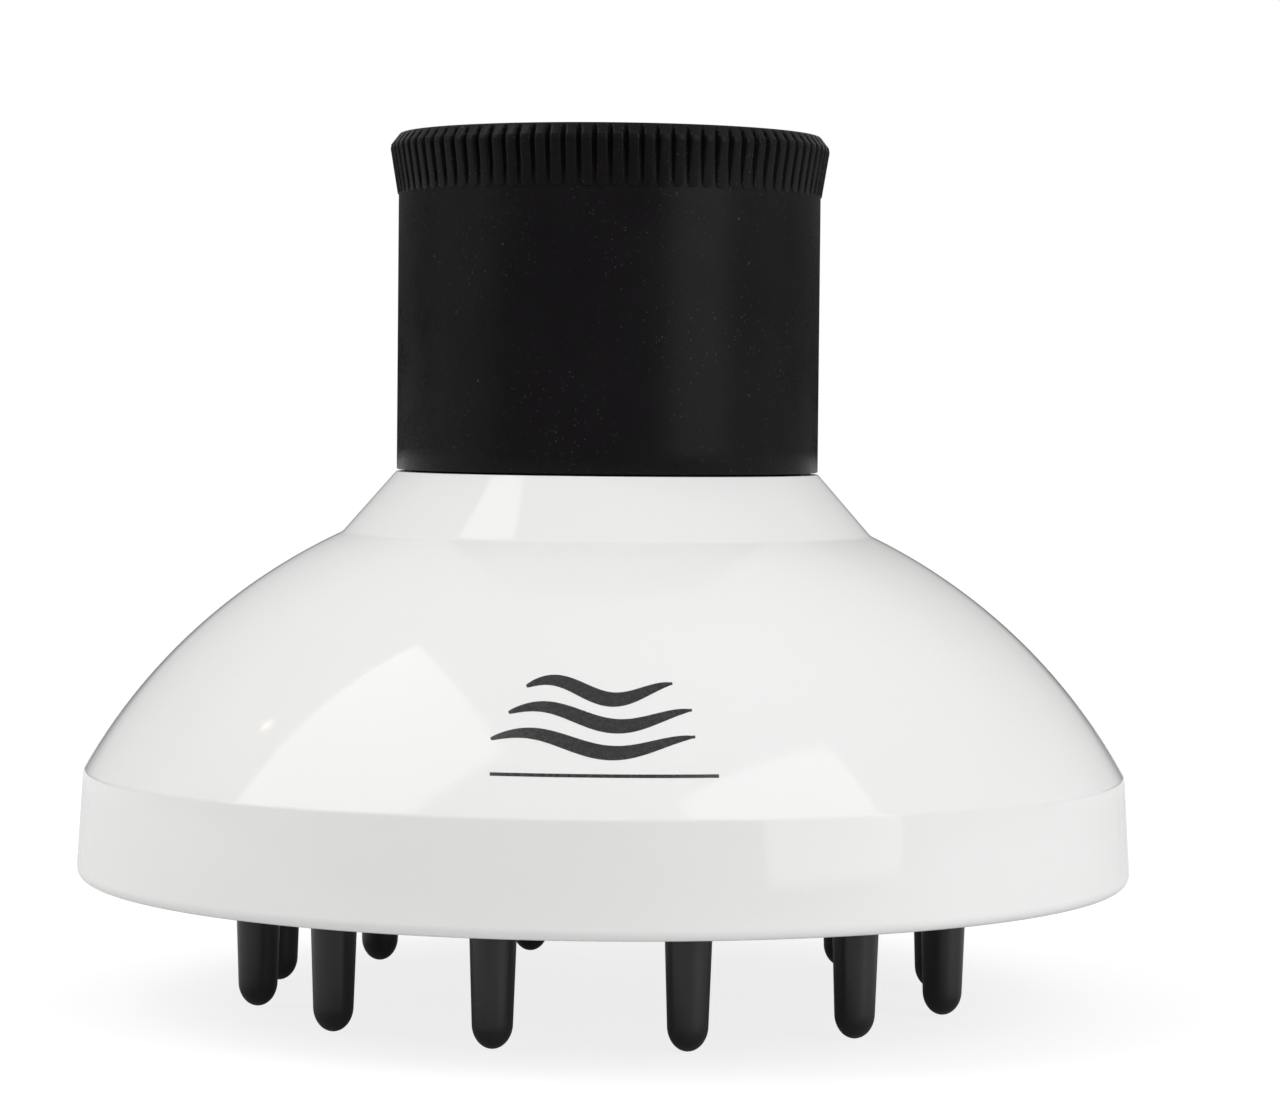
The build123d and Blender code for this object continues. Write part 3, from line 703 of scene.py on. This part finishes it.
def floor_paper():
    """Pale paper with a faint light of its own, mixed with clear where the floor isn't solid."""
    f = Finish("floor_paper")
    direct = f.nodes.new("ShaderNodeLightPath").outputs["Is Camera Ray"]
    depth = f.nodes.new("ShaderNodeSeparateXYZ")
    f.links.new(f.place, depth.inputs["Vector"])
    f.colour(f.blend(direct, (PAPER,) * 3, (PAPER_SEEN,) * 3))
    f.set(Roughness=0.9, Emission_Color=(1, 1, 1, 1))
    f.links.new(floor_glow(f, direct, depth.outputs["Y"]), f.shader.inputs["Emission Strength"])
    clear = f.nodes.new("ShaderNodeBsdfTransparent")
    mix = f.nodes.new("ShaderNodeMixShader")
    f.links.new(floor_cover(f, direct, depth.outputs["Y"]), mix.inputs["Fac"])
    f.links.new(clear.outputs["BSDF"], mix.inputs[1])
    f.links.new(f.shader.outputs["BSDF"], mix.inputs[2])
    f.links.new(mix.outputs["Shader"], f.nodes["Material Output"].inputs["Surface"])
    return f.material


def build_floor():
    """A round, pale floor under the object."""
    verts, faces = [(0, 0, 0)], []
    for k in range(FLOOR_STEPS):
        angle = 2 * pi * k / FLOOR_STEPS
        verts.append((FLOOR_R * cos(angle), FLOOR_R * sin(angle), 0))
        faces.append((0, 1 + k, 1 + (k + 1) % FLOOR_STEPS))
    mesh = bpy.data.meshes.new("floor")
    mesh.from_pydata(verts, [], faces)
    mesh.materials.append(floor_paper())
    floor = bpy.data.objects.new("floor", mesh)
    bpy.context.scene.collection.objects.link(floor)
    floor.location.z = -FLOOR_DROP


# The room as the object reflects it: name, brightness, then the span of directions it fills, as
# height (sine of the elevation) and as depth (from -1 at the camera's side to 1 behind the object).
# It is darkest straight in front and straight behind, and each part fades into the next.
ROOM = (
    ("ceiling", 0.59, (0.55, 1.5), (-1.5, 1.5)),
    ("upper_front", 0.27, (0.14, 0.55), (-1.5, 0.3)),
    ("upper_back", 0.42, (0.07, 0.55), (0.3, 1.5)),
    ("side_windows", 0.5, (-1.5, 0.3), (-0.45, 0.3)),
)
BAND_FADE = 0.06


def build_world():
    """White where the camera sees it. The object reflects a dim room, in bands by direction."""
    world = bpy.data.worlds.new("studio")
    bpy.context.scene.world = world
    world.use_nodes = True
    nodes, links = world.node_tree.nodes, world.node_tree.links
    seen = nodes["Background"]
    seen.inputs["Color"].default_value = (1, 1, 1, 1)
    split = nodes.new("ShaderNodeSeparateXYZ")
    links.new(nodes.new("ShaderNodeTexCoord").outputs["Generated"], split.inputs["Vector"])

    def step(value, start, end):
        """0 at the start value, 1 at the end value, with a smooth change between them."""
        node = nodes.new("ShaderNodeMapRange")
        node.interpolation_type = "SMOOTHSTEP"
        node.inputs["From Min"].default_value, node.inputs["From Max"].default_value = start, end
        links.new(value, node.inputs["Value"])
        return node.outputs["Result"]

    def times(first, second):
        """The product of two masks."""
        node = nodes.new("ShaderNodeMath")
        node.operation = "MULTIPLY"
        links.new(first, node.inputs[0])
        links.new(second, node.inputs[1])
        return node.outputs["Value"]

    def span(axis, low, high):
        """1 where the direction's part along an axis lies between two values."""
        value = split.outputs[axis]
        rise = step(value, low - BAND_FADE, low + BAND_FADE)
        fall = step(value, high + BAND_FADE, high - BAND_FADE)
        return times(rise, fall)

    def background(name, level, mask):
        """A part of the room's light, where its mask is."""
        light = nodes.new("ShaderNodeBackground")
        light.label = name
        light.inputs["Strength"].default_value = level
        links.new(mask, light.inputs["Color"])
        return light.outputs["Background"]

    def plus(first, second):
        """Two lights together."""
        total = nodes.new("ShaderNodeAddShader")
        links.new(first, total.inputs[0])
        links.new(second, total.inputs[1])
        return total.outputs["Shader"]

    parts = [background(name, level, times(span("Z", *height), span("Y", *depth)))
             for name, level, height, depth in ROOM]
    room = parts[0]
    for part in parts[1:]:
        room = plus(room, part)
    mix = nodes.new("ShaderNodeMixShader")
    links.new(nodes.new("ShaderNodeLightPath").outputs["Is Camera Ray"], mix.inputs["Fac"])
    links.new(room, mix.inputs[1])
    links.new(seen.outputs["Background"], mix.inputs[2])
    links.new(mix.outputs["Shader"], nodes["World Output"].inputs["Surface"])


LIGHT_AIM = Vector((0, 0, 0.05))       # the point on the axis that the lights face


def softbox(name, azimuth, elevation, distance, size, power, slide=0.0, tint=(1, 1, 1)):
    """An area light that faces the object, with a width and a height for its size. Azimuth counts
    from the front towards +X, in degrees. Slide moves it down within its own plane."""
    light = bpy.data.lights.new(name, "AREA")
    light.shape = "RECTANGLE"
    light.size, light.size_y = size
    light.energy = power
    light.color = tint
    obj = bpy.data.objects.new(name, light)
    bpy.context.scene.collection.objects.link(obj)
    a, e = radians(azimuth), radians(elevation)
    away = Vector((sin(a) * cos(e), -cos(a) * cos(e), sin(e)))
    turn = away.to_track_quat("Z", "Y")
    obj.rotation_euler = turn.to_euler()
    obj.location = LIGHT_AIM + away * distance - (turn @ Vector((0, 1, 0))) * slide


def build_lights():
    """Two softboxes, one high on the left and one tall on the right in front, and a small warm lamp."""
    softbox("left_softbox", azimuth=-75.4, elevation=56.4, distance=1.2, size=(0.76, 1.32),
            power=8.7, slide=0.42)
    softbox("right_softbox", azimuth=48.8, elevation=28.8, distance=1.3, size=(0.83, 1.54),
            power=10.4, slide=0.06)
    softbox("warm_lamp", azimuth=-107.6, elevation=40.1, distance=1.2, size=(0.03, 0.03),
            power=0.03, tint=(1.0, 0.72, 0.42))


def build_camera():
    """The photograph's viewpoint: in front, level with the lower part of the collar, looking a
    little down. Its distance and height are in metres and its angles in radians."""
    distance, height = 0.57875, 0.08558
    pitch, yaw, roll = 0.0374, 0.0083, 0.0097
    camera = bpy.data.cameras.new("camera")
    camera.lens, camera.sensor_width, camera.sensor_fit = 113.64, 36.0, "HORIZONTAL"
    camera.clip_start, camera.clip_end = 0.01, 20.0
    obj = bpy.data.objects.new("camera", camera)
    bpy.context.scene.collection.objects.link(obj)
    forward = Vector((sin(yaw) * cos(pitch), cos(yaw) * cos(pitch), -sin(pitch)))
    right = Vector((cos(yaw), -sin(yaw), 0))
    up = Vector((sin(yaw) * sin(pitch), cos(yaw) * sin(pitch), cos(pitch)))
    turned_right = right * cos(roll) + up * sin(roll)
    turned_up = up * cos(roll) - right * sin(roll)
    axes = Matrix((turned_right, turned_up, -forward)).transposed()
    obj.matrix_world = Matrix.Translation((0, -distance, height)) @ axes.to_4x4()
    bpy.context.scene.camera = obj


# ---- everything, in order ------------------------------------------------------------------
build_bell()
build_ledges()
build_sleeve()
build_fingers()
build_mark()
paint_nodes()
build_floor()
build_world()
build_lights()
build_camera()
bpy.context.scene.view_settings.view_transform = "Standard"
